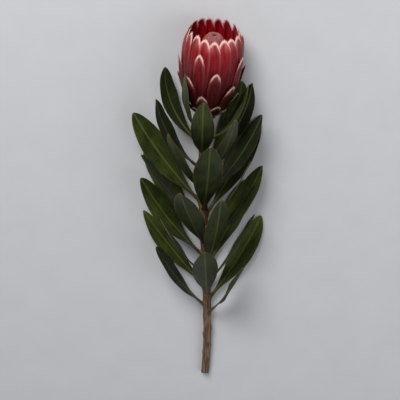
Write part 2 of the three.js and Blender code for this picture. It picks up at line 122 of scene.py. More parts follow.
# Hairs on the bracts' rims
HAIRS_PER_BRACT = 250
HAIR_BELOW_TIP = 0.15
HAIR_SPAN = 14.0  # how far down each side of a tip its fringe runs
HAIR_SPAN_MOST = 0.7  # of the bract's length
HAIR_CROWDING = 1.7  # towards the tip
HAIR_ROOTS = (0.99, 0.84)  # where they are rooted, as shares of the way to the edge
HAIR_CROSSING = 8  # how fast the fringe goes over from one side of the tip to the other
HAIR_LENGTH = 1.4
HAIR_SHORTEST = 0.5  # of that length, at the fringe's ends
HAIR_RADII = 0.048 * np.array([1.0, 0.7, 0.1])
HAIR_AROUND = 3
HAIR_KNEE = 0.55  # where a hair bends, as a share of its length
HAIR_SPLAY = 0.55  # how far it leans out over the edge
HAIR_SPLAY_CROSSING = 5
HAIR_LEAN_IN = -0.12  # towards the bloom's middle, so it begins a little outwards
HAIR_CURL_IN = 0.3  # past its knee
HAIR_COMBED = 0.5  # towards the tip, past its knee
HAIR_SPREAD = Group(place=0.02, splay=0.3, lean_in=0.3, curl_in=0.3, length=0.4)

# Florets: the cone's outline is its radius and height, up its side, over its top and into its dimple
FLORET_PROFILE = np.array([
    [14.5, RECEPTACLE_TOP + TOUCHING_GAP], [17.2, 42], [16.4, 56], [13.4, 67], [10.6, 75], [8.2, 81],
    [5.4, 84.6], [3.4, 85.1], [2.0, 83.8], [1.2, 80.6]])
PROFILE_POINTS = 600
PROFILE_ROUNDING = 3.0  # the stretch of outline that is averaged to round its corners
FLORET_BED_DEPTH = 0.9  # how far the styles' bed lies inside that outline
FLORET_BED_DROP = 0.4
FLORET_BED_LEAST = 0.4  # its least radius
FLORET_BED_STRIDE = 12  # the outline's points for each of its rows
FLORET_AROUND = 96
STYLE_COUNT = 520
STYLE_LOWEST = 22.0  # the first style's root, along the outline
STYLE_HIGHEST = 58.0
STYLE_END = 62.2  # no style reaches beyond this, so that the dimple stays open
STYLE_CROWDING = 0.72  # less than 1 crowds the roots towards the top
STYLE_LENGTH = 15.0
STYLE_SHORTEST = 0.35  # of that length, at the top
STYLE_SHORTER_FROM = 0.45  # the share of the styles, from below, that keep it
STYLE_SUNK = 0.8
STYLE_LIFTED = 0.7
STYLE_AXIS_GAP = 0.7
STYLE_SPREAD = Group(length=0.12, lift=0.35, turn=0.10)
STYLE_RADII = 0.6 * np.array([0.9, 1.0, 1.0, 0.9, 0.8, 0.65, 0.25])
STYLE_AROUND = 6

# Leaves, counted from the bloom down
LEAF_COUNT = 28
LEAF_SEED = 123
LEAF_FIRST = 11.0  # from the neck down to the first one
LEAF_SPACING = 8.2
LEAF_START_TURN = math.radians(-60)
LEAF_LENGTH_TOP = 82.0
LEAF_LENGTH_MIDDLE = 118.0
LEAF_LENGTH_LOW = 102.0
LEAF_LONGEST = 11  # the longest one's index
LEAF_BASE_WIDTH = 5.2
LEAF_WIDTH_SHARE = 0.215  # of its length
LEAF_WIDTH_EXTRA = 3.0
LEAF_WIDEST = 1.45  # 1 is widest at the middle, and more is nearer to the tip
LEAF_FULLNESS = 0.62  # 1 is a sine, and less is blunter
LEAF_TIP_LEAST = 0.07
LEAF_LEAN = np.radians([35, 50])  # off the stem at its root, low down and by the bloom
LEAF_BEND = np.radians([-14, -54])  # what is added to that lean by its tip
LEAF_TWIST = math.radians(36)
LEAF_TWIST_END = 0.5
LEAF_FOLD = 0.13  # how steeply its halves rise from the midrib
LEAF_FOLD_LOST = 0.5  # the share of that lost by the tip
LEAF_WAVE_SLANT = 0.15
LEAF_FREE_END = 0.15  # from this share of its length on, the surface below holds it up in full
LEAF_SPREAD = Group(turn=0.08, length=0.05, lean=math.radians(4), bend=math.radians(6),
                    twist=math.radians(12), wave=0.9)
LEAF_ROWS = 46
LEAF_AROUND = 34
LEAF_CROWDING = 1.25  # of its rows, towards the tip
LEAF_THICKNESS = 0.5
LEAF_RIPPLE = Group(height=0.35, waves=3.1, slant=0.3, shift=5, begins=0.1, full=0.3)
RIB_DEPTH = (0.825, 0.099)  # at its root and at its tip
RIB_END = 0.95
RIB_REACH = 1.1
GROOVE_DEPTH = 0.18
GROOVE_BEGINS = 0.05
GROOVE_REACH = 0.7
STALK_THICKNESS = 1.6
STALK_END = 0.16
STALK_SUNK = 0.4  # into the bark
CAD_LEAF = Group(rows=7, columns=5, crowding=1.15, thickness=0.8, base_thickness=2.0, stalk_end=0.22)

# The surface below, as the leaves meet it
FLOOR_SQUEEZE = 0.26  # the share by which leaves are turned away from it
FLOOR_LEVEL = 1.9
FLOOR_SOFTNESS = 1.3
FLOOR_LEFT_OVER = 0.06  # the share of their depth below it that they keep

# Bark
STEM_ROWS = 520
STEM_AROUND = 56
CUT_RINGS = 8
CUT_CENTRE = 0.04  # the innermost ring's radius, as a share
CUT_CROWDING = 0.8
CUT_INSET = 0.985
CUT_SLANT_LENGTH = 5.0
BARK_INSET = 0.12
BARK_WAVES = (  # height, waves round the stem, and slant in radians for each millimetre along it
    (0.10, 5, 0.031), (0.07, 11, -0.057), (0.05, 3, 0.43))
WOOD_ON_BARK = 2.0  # past any value of that trait on the cut
CUSHION_REACH = 2.2  # out of the bark
CUSHION_SOFTENED = 0.8
SCAR_COUNT = 7
SCAR_REACH = 0.9
CUSHION_ABOVE = 2.2  # the stretch of its bell curve towards the bloom
CUSHION_BELOW = 5.5
CUSHION_ASIDE = 2.7
CUSHION_AHEAD = 0.6  # of its reach, from the leaf's root


# ---- Numbers ----

def lerp(low, high, share):
    """low plus a share of the way to high."""
    return low + (high - low) * share


def ease(value, low, high):
    """A share from 0 at low to 1 at high that starts and ends level: 3t^2 - 2t^3."""
    share = np.clip((value - low) / (high - low), 0, 1)
    return share * share * (3 - 2 * share)


def draw(index, trait):
    """A repeatable draw between -1 and 1 for one trait of one piece: the loose digits of a large sine."""
    wave = np.sin(index * 12.9898 + trait * 78.233) * 43758.5453
    return 2 * (wave - np.floor(wave)) - 1


def unit(vectors):
    """Vectors of any array shape, each divided by its length."""
    return vectors / np.linalg.norm(vectors, axis=-1, keepdims=True)


def scaling(values):
    """Numbers with one more axis, so that they scale vectors."""
    return np.asarray(values)[..., None]


def once_round(around):
    """Turns once round a tube, in the order that makes its faces look outwards."""
    return -2 * math.pi * np.arange(around) / around


def crowded_rows(count, crowding):
    """Shares of the way from root to tip, one to a row, and closer together towards the tip."""
    return 1 - np.linspace(1, 0, count)[:, None]**crowding


# ---- Stem and bloom axes ----

def stem_curve():
    """The four control points of the stem's curve, from the cut end to the neck."""
    to_belly = RECEPTACLE_NECK + BLOOM_WIDEST_HEIGHT
    neck_height = BELLY_REST * math.cos(NECK_RISE) - to_belly * math.sin(NECK_RISE)
    reach = STEM_LENGTH / 3
    cut = np.array([0, 0, CUT_CENTRE_HEIGHT])
    neck = np.array([0, STEM_LENGTH, neck_height])
    near_cut = cut + [STEM_SWAY, reach, reach * math.tan(CUT_RISE)]
    near_neck = neck - [STEM_SWAY, reach, reach * math.tan(NECK_RISE)]
    return np.array([cut, near_cut, near_neck, neck])


STEM_CURVE = stem_curve()


def stem_frame(distance):
    """The stem's centre and its own directions at distances from the cut end: a cubic curve's point,
    its slope as `along`, `side` level and square to it, and `up` square to both."""
    share = scaling(distance / STEM_LENGTH)
    cut, near_cut, near_neck, neck = STEM_CURVE
    rest = 1 - share
    centre = (rest**3 * cut + 3 * rest**2 * share * near_cut
              + 3 * rest * share**2 * near_neck + share**3 * neck)
    along = unit(rest**2 * (near_cut - cut) + 2 * rest * share * (near_neck - near_cut)
                 + share**2 * (neck - near_neck))
    side = unit(np.cross(along, WORLD_UP))
    return Group(centre=centre, along=along, side=side, up=np.cross(side, along))


def outward(axes, turn):
    """Directions square to an axis, turned from its up towards its side."""
    return axes.up * scaling(np.cos(turn)) + axes.side * scaling(np.sin(turn))


BLOOM = stem_frame(STEM_LENGTH)
BLOOM.centre = BLOOM.centre + BLOOM.along * (TOUCHING_GAP + RECEPTACLE_NECK)


def bloom_point(turn, radius, height):
    """Points round the bloom's axis, from their turn, their distance from it and their height along it."""
    return BLOOM.centre + BLOOM.along * scaling(height) + outward(BLOOM, turn) * scaling(radius)


def bloom_radius(height):
    """The bloom's outline: its widest radius less a power of the share below, and of the share above."""
    below = np.clip((BLOOM_WIDEST_HEIGHT - height) / BLOOM_WIDEST_HEIGHT, 0, None)
    above = np.clip((height - BLOOM_WIDEST_HEIGHT) / (BLOOM_HEIGHT - BLOOM_WIDEST_HEIGHT), 0, None)
    return (BLOOM_RADIUS - (BLOOM_RADIUS - BLOOM_RADIUS_BASE) * below**BELLY_FULLNESS
            - (BLOOM_RADIUS - BLOOM_RADIUS_MOUTH) * above**SHOULDER_FULLNESS)


def stem_radius(distance):
    """The bark's radius: an even taper, swollen over the last stretch into the bloom."""
    straight = lerp(STEM_RADIUS_LOW, STEM_RADIUS_HIGH, distance / STEM_LENGTH)
    return lerp(straight, STEM_RADIUS_NECK, ease(distance, STEM_LENGTH - NECK_SWELL, STEM_LENGTH))


# ---- Leaves' middle surfaces ----

def leaf_plan(index):
    """Where a leaf grows and how it is shaped, as its solid is: its length, lean and bend change evenly
    from the bloom down, and each has a small draw of its own. Index 0 is the leaf nearest the bloom."""
    pick = index + LEAF_SEED
    loose = LEAF_SPREAD
    distance = STEM_LENGTH - LEAF_FIRST - LEAF_SPACING * index
    turned = LEAF_START_TURN + GOLDEN_TURN * index + loose.turn * draw(pick, 1)
    turn = (turned - 2 * math.pi * round(turned / (2 * math.pi))) * (1 - FLOOR_SQUEEZE)
    axes = stem_frame(distance)
    out = outward(axes, turn)
    near_bloom = 1 - ease(index, 0, LEAF_LONGEST)
    below_longest = max(0, index - LEAF_LONGEST) / (LEAF_COUNT - LEAF_LONGEST)
    length = (lerp(LEAF_LENGTH_MIDDLE, LEAF_LENGTH_TOP, near_bloom)
              - (LEAF_LENGTH_MIDDLE - LEAF_LENGTH_LOW) * below_longest)
    length *= 1 + loose.length * draw(pick, 2)
    lean = lerp(*LEAF_LEAN, near_bloom) + loose.lean * draw(pick, 3)
    bend = lerp(*LEAF_BEND, near_bloom) + loose.bend * draw(pick, 4) * (1 - near_bloom)
    return Group(
        distance=distance, turn=turn, axes=axes, out=out, length=length, lean=lean, bend=bend,
        direction=axes.along * math.cos(lean) + out * math.sin(lean),
        sideways=np.cross(axes.along, out),
        on_bark=axes.centre + out * stem_radius(distance),
        width=LEAF_WIDTH_SHARE * length + LEAF_WIDTH_EXTRA,
        twist=LEAF_TWIST * math.sin(turn) + loose.twist * draw(pick, 5),
        wave=loose.wave * draw(pick, 6))


def leaf_half_width(leaf, u):
    """Half a leaf's width: a power of a sine that peaks beyond the middle, a stalk and a blunt tip."""
    oval = np.sin(math.pi * np.clip(u, 0, 1)**LEAF_WIDEST).clip(0)**LEAF_FULLNESS
    stalk = (LEAF_BASE_WIDTH / leaf.width) * (1 - u)**2
    return (leaf.width / 2) * np.maximum(np.maximum(LEAF_TIP_LEAST, stalk), oval)


def over_surface(height):
    """A height above the surface, where what would be below it is laid along it: a soft maximum."""
    above = height - FLOOR_LEVEL
    lifted = FLOOR_SOFTNESS * np.log1p(np.exp(above / FLOOR_SOFTNESS))
    return FLOOR_LEVEL + lifted - FLOOR_LEFT_OVER * (lifted - above)


def leaf_middle(leaf, u, v, extra_rise=0.0):
    """A leaf's middle surface, root to tip (u) and edge to edge (v): an arc in the plane of stem and
    leaf, a shallow V across it, a twist and a wave along it, laid on the surface where it meets it."""
    lean = leaf.lean + leaf.bend * u
    along_stem = (np.sin(lean) - math.sin(leaf.lean)) / leaf.bend
    away = (math.cos(leaf.lean) - np.cos(lean)) / leaf.bend
    start = leaf.on_bark + leaf.direction * (CUSHION_REACH + TOUCHING_GAP)
    rib = (start + leaf.axes.along * scaling(leaf.length * along_stem)
           + leaf.out * scaling(leaf.length * away))
    upper_side = leaf.axes.along * scaling(np.sin(lean)) - leaf.out * scaling(np.cos(lean))
    across = v * leaf_half_width(leaf, u)
    turned = leaf.twist * ease(u, 0, LEAF_TWIST_END)
    rise = (np.abs(across) * LEAF_FOLD * (1 - u * LEAF_FOLD_LOST)
            + leaf.wave * v * v * np.sin(2 * math.pi * (u + LEAF_WAVE_SLANT * v)) + extra_rise)
    points = (rib + leaf.sideways * scaling(across * np.cos(turned) - rise * np.sin(turned))
              + upper_side * scaling(across * np.sin(turned) + rise * np.cos(turned)))
    height = points[..., 2]
    points[..., 2] = lerp(height, over_surface(height), ease(u, 0, LEAF_FREE_END))
    return points


def directions(middle, u, v):
    """Unit vectors along a middle surface and across it, from its small steps, and square to both."""
    along = middle(u + SMALL_STEP, v) - middle(u - SMALL_STEP, v)
    across = middle(u, v + SMALL_STEP) - middle(u, v - SMALL_STEP)
    return unit(along), unit(across), unit(np.cross(along, across))


# ---- From the drawing frame to the scene ----

def drawing_offset():
    """How far the solids stand from the drawing frame, in millimetres: the lowest corner of a leaf's
    solid, less the lowest corner of the same coarse blade worked out here."""
    leaf = leaf_plan(0)
    coarse = CAD_LEAF
    u = crowded_rows(coarse.rows + 1, coarse.crowding)
    v = np.linspace(-1, 1, coarse.columns)
    middle = leaf_middle(leaf, u, v)
    half = lerp(coarse.base_thickness, coarse.thickness, ease(u, 0, coarse.stalk_end)) / 2
    _, _, square = directions(partial(leaf_middle, leaf), u, v)
    skins = [middle + square * scaling(half), middle - square * scaling(half)]
    corners = np.concatenate(skins).reshape(-1, 3)
    solid_low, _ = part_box("leaf_01")
    return np.array(solid_low) / MM - corners.min(axis=0)


OFFSET = drawing_offset()


def place(points):
    """Drawing millimetres as scene metres. What would be below the resting height is pressed up to it,
    but for a small share of its depth."""
    moved = points + OFFSET
    above = moved[..., 2] - RESTING_HEIGHT
    moved[..., 2] = RESTING_HEIGHT + np.where(above < 0, PRESSED_SHARE * above, above)
    return moved * MM


# ---- Meshes ----

def closed_tubes(rings, traits):
    """Points, faces and traits of tubes closed at both ends. rings is tubes x rows x around x 3, and
    each trait spreads to tubes x rows x around. Each end is closed by a fan to the mean of its ring."""
    tubes, rows, around = rings.shape[:3]
    ends = rings[:, [0, -1]].mean(axis=2)
    points = np.concatenate([rings.reshape(tubes, -1, 3), ends], axis=1).reshape(-1, 3)
    carried = {}
    for name, values in traits.items():
        values = np.broadcast_to(values, (tubes, rows, around))
        at_ends = values[:, [0, -1]].mean(axis=2)
        carried[name] = np.concatenate([values.reshape(tubes, -1), at_ends], axis=1).ravel()
    grid = np.arange(rows * around).reshape(rows, around)
    turned = np.roll(grid, -1, axis=1)
    quads = np.stack([grid[:-1], grid[1:], turned[1:], turned[:-1]], axis=-1).reshape(-1, 4)
    root = np.stack([np.full(around, rows * around), grid[0], turned[0]], axis=-1)
    tip = np.stack([np.full(around, rows * around + 1), turned[-1], grid[-1]], axis=-1)
    starts = (np.arange(tubes) * (rows * around + 2))[:, None, None]
    faces = (quads + starts).reshape(-1, 4).tolist()
    faces += (np.concatenate([root, tip]) + starts).reshape(-1, 3).tolist()
    return points, faces, carried


def add_object(name, data):
    """A new object in the scene, at its origin."""
    added = bpy.data.objects.new(name, data)
    bpy.context.scene.collection.objects.link(added)
    return added


def add_mesh(name, points, faces, finish):
    """A new mesh object of one finish."""
    mesh = bpy.data.meshes.new(name)
    mesh.from_pydata(points, [], faces)
    mesh.materials.append(finish)
    return add_object(name, mesh)


def make_piece(name, shape, finish, replaced):
    """A piece from the points, faces and traits of closed_tubes, riding on the flower's one body."""
    points, faces, traits = shape
    piece = add_mesh(name, place(points).tolist(), faces, finish)
    mesh = piece.data
    mesh.polygons.foreach_set("use_smooth", np.ones(len(mesh.polygons), bool))
    for trait, values in traits.items():
        mesh.attributes.new(trait, "FLOAT", "POINT").data.foreach_set("value", values.astype(np.float32))
    mesh.update()
    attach(piece, "root")
    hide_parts(*replaced)


def lens_ring(around):
    """One walk round a thin section: v goes from edge to edge over the upper side and back under the
    other. Returns v, the side walked on (1 or -1) and the share of the full thickness there, which is
    the root of 1 less a power of v."""
    angle = 2 * math.pi * (np.arange(around) + 0.5) / around
    v = -np.cos(angle)
    side = np.where(np.sin(angle) > 0, 1.0, -1.0)
    fullness = np.sqrt(np.clip(1 - v**LENS_BLUNTNESS, 0, 1))
    return v, side, fullness


def off_edge(half, v, below_tip, tip_share):
    """About how far a point of a blade is from its edge: across it, or a share of the way to its tip."""
    return np.minimum(half * (1 - np.abs(v)), tip_share * below_tip + EDGE_AT_TIP)


# ---- Finishes ----

class Finish:
    """A material being put together. Each call adds one node and returns its output."""

    def __init__(self, name):
        self.material = bpy.data.materials.new(name)
        self.material.use_nodes = True
        self.tree = self.material.node_tree
        self.shader = self.tree.nodes["Principled BSDF"]

    def add(self, kind, inputs, output=0, **settings):
        node = self.tree.nodes.new("ShaderNode" + kind)
        for key, value in settings.items():
            setattr(node, key, value)
        for key, value in inputs.items():
            self.feed(node.inputs[key], value)
        return node.outputs[output]

    def feed(self, socket, value):
        """Another node's output is linked to the socket, and anything else is set in it."""
        if isinstance(value, bpy.types.NodeSocket):
            self.tree.links.new(value, socket)
        else:
            socket.default_value = value

    def trait(self, name):
        return self.add("Attribute", {}, "Fac", attribute_name=name)

    def where(self, stretch=(1, 1, 1)):
        """A point's place in metres, scaled along each axis."""
        spot = self.add("TexCoord", {}, "Object")
        return self.add("Mapping", {"Vector": spot, "Scale": stretch})

    def vector(self, x, y, z):
        return self.add("CombineXYZ", {"X": x, "Y": y, "Z": z})

    def calc(self, operation, a, b=0.0, c=0.0):
        return self.add("Math", {0: a, 1: b, 2: c}, operation=operation)

    plus = partialmethod(calc, "ADD")
    times = partialmethod(calc, "MULTIPLY")
    times_plus = partialmethod(calc, "MULTIPLY_ADD")

    def ease(self, value, low, high):
        """A level-ended share of the way from low to high."""
        return self.add("MapRange", {"Value": value, "From Min": low, "From Max": high},
                        interpolation_type="SMOOTHSTEP")

    def noise(self, vector, scale, detail=3.0, roughness=0.55):
        return self.add("TexNoise", {"Vector": vector, "Scale": scale, "Detail": detail,
                                               "Roughness": roughness})

    def mix(self, share, a, b):
        return self.add("Mix", {0: share, 6: a, 7: b}, 2, data_type="RGBA")

    def between(self, share, tints):
        """A colour that goes from the first of two tints to the second."""
        return self.mix(share, colour(tints[0]), colour(tints[1]))

    def bump(self, height, distance):
        """distance is in millimetres."""
        return self.add("Bump", {"Height": height, "Distance": distance * MM})

    def shade(self, **inputs):
        """The whole material. An underscore in a key stands for a space in the input's name."""
        for key, value in inputs.items():
            self.feed(self.shader.inputs[key.replace("_", " ")], value)
        return self.material


def colour(tint):
    """A tint as it looks on a screen, 0 to 255, as the linear values that a shader takes."""
    share = np.array(tint) / 255
    linear = np.where(share <= 0.04045, share / 12.92, ((share + 0.055) / 1.055)**2.4)
    return (*linear.tolist(), 1.0)


# Tints as they look on a screen. A pair goes from the duller to the brighter one.
# Bracts: lower is partly painted shade, and the brighter tints are partly painted highlight and light.
BRACT_TINTS = Group(
    upper=((118, 1, 10), (168, 21, 34)), lower=((40, 2, 3), (76, 11, 10)),
    foot=((70, 34, 24), (116, 66, 46)), margin=((80, 26, 24), (184, 80, 84)),
    frost=((176, 100, 92), (222, 146, 142)), rim=((206, 142, 130), (253, 202, 194)),
    inner=((124, 0, 12), (184, 8, 30)), inner_rim=(255, 214, 210), sheen=(255, 200, 200))
HAIR_TINTS = ((226, 150, 144), (254, 218, 210))
# Florets: deep is partly painted shade between the styles.
FLORET_TINTS = Group(silk=((124, 52, 56), (180, 104, 102)), deep=((48, 6, 12), (92, 24, 30)),
                     sheen=(255, 235, 232))
LEAF_TINTS = Group(
    dark=((21, 27, 14), (35, 45, 15)), light=((36, 46, 23), (72, 87, 29)),
    under=((40, 48, 26), (64, 72, 38)), rib=((106, 112, 56), (150, 134, 78)),
    vein=(116, 130, 70), edge=(128, 78, 50), browned=(96, 62, 36))
BARK_TINTS = Group(
    old=((72, 50, 36), (138, 110, 84)), young=((96, 62, 40), (134, 122, 72)), fleck=(112, 56, 42),
    wood=((196, 176, 128), (222, 206, 164)), pith=(150, 122, 84), under_bark=(104, 92, 52))
RECEPTACLE_TINTS = Group(neck=((78, 40, 30), (124, 86, 58)), cup=((46, 5, 7), (80, 16, 16)))
FLOOR_TINTS = ((206, 208, 212), (214, 216, 220))


def bract_finish():
    """Bract: crimson with satin bands and fine ribs along it, whose brighter streaks are partly painted
    satin highlight; darker low on the bloom, partly the lower bracts' own maroon and partly painted
    shade of light that falls from beyond the mouth; brown at its foot; a silvery-pink margin, a pale
    woolly rim round the tip and a silvery coat near it that is partly painted sheen, all three paler
    up the bloom as painted light; and deep crimson inside. Its traits are in millimetres: level up
    the bloom, below_tip down from its tip, edge in from its edge and across from its middle. tone
    gives each bract its own streaks."""
    made = Finish("bract_satin")
    tints = BRACT_TINTS
    below_tip = made.trait("below_tip")
    across = made.trait("across")
    level = made.trait("level")

    own = made.times(made.trait("tone"), 40.0)
    along = made.times(below_tip, 0.03)
    ribs = made.noise(made.vector(across, along, own), 2.4, 3.0, 0.6)
    bands = made.noise(made.vector(made.times(across, 0.3), along, own), 1.3, 2.0, 0.5)
    streaks = made.plus(made.times(ribs, 0.4), made.times(bands, 0.6))
    # The brighter streaks are partly painted satin highlight, laid on the silky hairs' own streaky tone.
    shine = made.ease(streaks, 0.38, 0.66)

    # Darker low on the bloom: partly the lower bracts' own maroon, partly painted shade.
    upper_tone_and_painted_light = made.ease(level, 26.0, 92.0)
    body = made.mix(upper_tone_and_painted_light, made.between(shine, tints.lower), made.between(shine, tints.upper))
    body = made.mix(made.ease(level, 13.0, -3.0), body, made.between(shine, tints.foot))

    frayed_edge = made.plus(made.trait("edge"), made.times(made.calc("SUBTRACT", ribs, 0.5), 2.2))
    near_tip = made.ease(below_tip, 50.0, 4.0)
    margin_share = made.times(made.ease(frayed_edge, 3.2, 0.4), made.times_plus(near_tip, 0.46, 0.22))
    # The margin's tint is paler up the bloom as painted light.
    body = made.mix(margin_share, body, made.between(made.ease(level, 24.0, 88.0), tints.margin))

    # Paler up the bloom as painted light, for the silvery coat and the rim.
    high = made.ease(level, 4.0, 52.0)
    # A silvery coat near the tip: partly the hairs' own silver, partly painted sheen on the brighter
    # streaks.
    silver_and_painted_sheen_share = made.times(made.ease(below_tip, 13.0, 1.0), made.times_plus(shine, 0.4, 0.1))
    silver_and_painted_sheen_share = made.times(silver_and_painted_sheen_share, made.times_plus(high, 0.6, 0.4))
    body = made.mix(silver_and_painted_sheen_share, body, made.between(high, tints.frost))

    narrowing_edge = made.times_plus(below_tip, 0.1, frayed_edge)
    rim_share = made.times(made.ease(narrowing_edge, 2.7, 1.3), made.ease(below_tip, 12.0, 2.5))
    tuft_share = made.ease(made.plus(below_tip, made.times(ribs, 2.4)), 4.4, 1.6)
    rim_share = made.times(made.calc("MAXIMUM", rim_share, tuft_share), 0.95)
    body = made.mix(rim_share, body, made.between(high, tints.rim))

    inner = made.between(made.ease(streaks, 0.36, 0.66), tints.inner)
    inner_rim = made.times(made.ease(frayed_edge, 2.1, 0.8), made.ease(below_tip, 11.0, 3.0))
    inner_tuft = made.ease(made.plus(below_tip, made.times(ribs, 1.6)), 2.9, 1.2)
    inner_rim = made.times(made.calc("MAXIMUM", inner_rim, inner_tuft), 0.92)
    inner = made.mix(inner_rim, inner, colour(tints.inner_rim))

    whole = made.mix(made.trait("outside"), inner, body)
    grain = made.times(made.noise(made.where(), 900.0), 0.15)
    relief = made.plus(made.plus(ribs, made.times(bands, 1.5)), grain)
    return made.shade(Base_Color=whole, Roughness=made.times_plus(ribs, 0.25, 0.34),
                      Normal=made.bump(relief, 0.4), Sheen_Weight=0.05, Sheen_Roughness=0.4,
                      Sheen_Tint=colour(tints.sheen), Specular_IOR_Level=0.28)


def hair_finish():
    """Silky hairs: pink at their roots and almost white at their tips."""
    made = Finish("silky_hair")
    tint = made.between(made.trait("reach"), HAIR_TINTS)
    return made.shade(Base_Color=tint, Roughness=0.6, Sheen_Weight=0.3, Sheen_Roughness=0.5)


def floret_finish():
    """Florets: crimson in the depth between the styles, its darkness partly painted shade, and greyish
    pink silk towards their ends.
    """
    made = Finish("floret_silk")
    streaks = made.noise(made.where((1.0, 0.15, 1.0)), 900.0, 3.0)
    shine = made.ease(streaks, 0.3, 0.7)
    deep = made.between(shine, FLORET_TINTS.deep)
    silk = made.between(shine, FLORET_TINTS.silk)
    # Dark at the styles' roots and on their bed: partly painted shade in the depth between the styles.
    whole = made.mix(made.ease(made.trait("reach"), 0.05, 0.85), deep, silk)
    return made.shade(Base_Color=whole, Roughness=0.62, Normal=made.bump(streaks, 0.15), Sheen_Weight=0.3,
                      Sheen_Roughness=0.45, Sheen_Tint=colour(FLORET_TINTS.sheen))


def leaf_finish():
    """Leaf: leathery dark green with a pale midrib, faint slanting veins, a thin reddish edge, a
    browned margin here and there, a duller underside and a tone of its own. Its traits are in
    millimetres: along from its root, across from its midrib and edge in from its edge."""
    made = Finish("leaf_leathery")
    tints = LEAF_TINTS
    tone = made.trait("tone")
    across = made.trait("across")
    along = made.trait("along")
    edge = made.trait("edge")
    own = made.times(tone, 50.0)
    off_rib = made.calc("ABSOLUTE", across)

    slanted = made.calc("SUBTRACT", along, made.times(off_rib, 2.1))
    drift = made.vector(made.times(across, 0.16), made.times(along, 0.05), own)
    wander = made.noise(drift, 1.0, 3.0)
    veins = made.calc("SINE", made.times_plus(slanted, 1.1, made.times(wander, 11.0)))
    vein_lines = made.ease(veins, 0.76, 1.0)

    mottle = made.noise(made.where(), 48.0, 4.0, 0.6)
    lanes = made.vector(made.times(across, 0.35), made.times(along, 0.03), own)
    streaks = made.noise(lanes, 1.6, 3.0, 0.6)
    patchy = made.ease(made.times(made.plus(mottle, streaks), 0.5), 0.36, 0.64)
    upper = made.mix(patchy, made.between(tone, tints.dark), made.between(tone, tints.light))
    blade = made.mix(made.trait("upper"), made.between(patchy, tints.under), upper)
    blade = made.mix(made.times(vein_lines, 0.1), blade, colour(tints.vein))

    rib_tint = made.between(made.ease(along, 60.0, 5.0), tints.rib)
    blade = made.mix(made.times(made.ease(off_rib, 1.15, 0.3), 0.6), blade, rib_tint)
    blade = made.mix(made.times(made.ease(edge, 0.7, 0.15), 0.5), blade, colour(tints.edge))
    browned = made.times(made.ease(edge, 1.6, 0.2), made.ease(mottle, 0.56, 0.66))
    blade = made.mix(made.times(browned, 0.7), blade, colour(tints.browned))

    grain = made.noise(made.where(), 1400.0, 2.0)
    relief = made.plus(made.times(vein_lines, -0.3), made.times(grain, 0.25))
    return made.shade(Base_Color=blade, Roughness=made.times_plus(grain, 0.2, 0.36),
                      Normal=made.bump(relief, 0.3), Specular_IOR_Level=0.3)


def bark_finish():
    """Bark: grey-brown and furrowed low down, reddish green and smoother near the bloom, with pale
    wood, rings and a soft middle at the cut. level is in millimetres from the cut, and wood is the
    share of the way out from the cut's middle, and more than 1 on the bark."""
    made = Finish("bark_woody")
    tints = BARK_TINTS
    level = made.trait("level")
    wood = made.trait("wood")
    furrows = made.noise(made.where((1.0, 0.07, 1.0)), 620.0, 4.0, 0.65)
    ridges = made.ease(furrows, 0.35, 0.68)
    young_share = made.ease(level, 110.0, 300.0)
    bark = made.mix(young_share, made.between(ridges, tints.old), made.between(ridges, tints.young))
    flecks = made.ease(made.noise(made.where(), 260.0, 3.0), 0.6, 0.75)
    bark = made.mix(made.times(flecks, 0.4), bark, colour(tints.fleck))

    rings = made.ease(made.calc("SINE", made.times(wood, 42.0)), -0.4, 1.0)
    cut = made.between(rings, tints.wood)
    cut = made.mix(made.ease(wood, 0.26, 0.16), cut, colour(tints.pith))
    cut = made.mix(made.ease(wood, 0.86, 0.94), cut, colour(tints.under_bark))
    whole = made.mix(made.ease(wood, 1.02, 0.99), bark, cut)
    return made.shade(Base_Color=whole, Roughness=0.72, Normal=made.bump(furrows, 0.5))


def receptacle_finish():
    """Receptacle: the scaly cone that the bracts grow from, dark red under them, brown on its neck and
    the colour of young bark where it meets the stem. level is in millimetres up the bloom."""
    made = Finish("receptacle_scaly")
    level = made.trait("level")
    scales = made.noise(made.where(), 420.0, 3.0)
    flecked = made.ease(scales, 0.35, 0.65)
    whole = made.between(flecked, RECEPTACLE_TINTS.neck)
    whole = made.mix(made.ease(level, -1.0, 5.0), whole, made.between(flecked, RECEPTACLE_TINTS.cup))
    whole = made.mix(made.ease(level, -3.0, -7.5), whole, made.between(flecked, BARK_TINTS.young))
    return made.shade(Base_Color=whole, Roughness=0.85, Normal=made.bump(scales, 0.4),
                      Specular_IOR_Level=0.1)


# ---- Bracts ----

def spiral_bracts(rows, step, number):
    """Bracts in a spiral up the bloom, each with its tip a step above the last one's."""
    tip = rows.first_tip + rows.tip_step * step + rows.tip_spread * draw(number, 1)
    return Group(
        number=number, tip=tip, layer=tip, root=rows.root + rows.root_step * step,
        width=rows.width + rows.widen * step, tilt=rows.tilt * draw(number, 3),
        turn=GOLDEN_TURN * number + rows.turn_spread * draw(number, 2), flare=rows.flare,
        tip_length=rows.tip_length * (1 + BRACT_TIP_SPREAD * draw(number, 4)))


def ring_bracts(ring, step, number):
    """A closed ring of bracts round the mouth, each with one edge over the next one."""
    return Group(
        number=number, tip=ring.tip - ring.ripple * (1 + draw(number, 1)) / 2,
        layer=ring.layer + ring.unevenness * draw(number, 3),
        root=ring.root, width=ring.width, tilt=ring.tilt, flare=ring.flare,
        turn=2 * math.pi * (step + ring.turn_spread * draw(number, 2)) / ring.count,
        tip_length=ring.tip_length * (1 + BRACT_TIP_SPREAD * draw(number, 4)))


